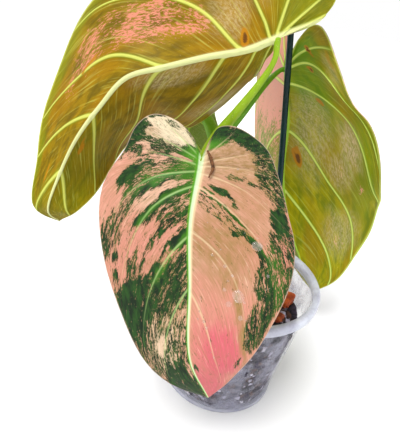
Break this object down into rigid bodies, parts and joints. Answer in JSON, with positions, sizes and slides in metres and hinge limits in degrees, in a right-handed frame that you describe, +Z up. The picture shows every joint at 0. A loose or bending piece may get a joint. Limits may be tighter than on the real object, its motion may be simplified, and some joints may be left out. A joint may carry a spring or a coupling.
{
  "type": "potted variegated philodendron melanochrysum",
  "caption": "Climbing aroid house plant with large heart-shaped variegated leaves, standing with a coated stake in a clear nursery cup.",
  "frame": {"origin": "centre of the cup's flat underside, where the plant rests", "axes": "+Z up along the cup's axis, -Y towards the side the large front leaf hangs on"},
  "size_m": [0.2074, 0.1881, 0.2712],
  "materials": {
    "clear_cup": "translucent smooth plastic, a little cloudy",
    "mix": "damp crumbly mix of bark, fibre and pale mineral lumps",
    "bark": "rough damp orange brown bark",
    "stem": "satin green stem with darker nodes",
    "petiole": "satin lime green",
    "root": "matt brown root",
    "stake": "dark teal green plastic coating",
    "front_blade": "velvety satin leaf, pink, cream and dark green variegation",
    "side_blade": "satin olive leaf underside with raised pale veins",
    "upper_blade": "satin olive gold leaf underside with raised pale veins",
    "back_blade": "satin dark olive leaf",
    "dry_sheath": "dry brown papery sheath"
  },
  "bodies": {
    "root": {"cup": "clear_cup", "potting_mix": "mix", "bark_chip_01": "bark", "bark_chip_02": "bark", "bark_chip_03": "bark", "bark_chip_04": "bark", "bark_chip_05": "bark", "bark_chip_06": "bark", "bark_chip_07": "bark", "bark_chip_08": "bark", "bark_chip_09": "bark", "bark_chip_10": "bark", "stem": "stem", "upper_petiole": "petiole", "side_petiole": "petiole", "front_petiole": "petiole", "back_petiole": "petiole", "aerial_root_1": "root", "aerial_root_2": "root", "aerial_root_3": "root", "stake": "stake", "front_leaf": "front_blade", "side_leaf": "side_blade", "upper_leaf": "upper_blade", "back_leaf": "back_blade", "dry_sheath": "dry_sheath"}
  },
  "joints": []
}
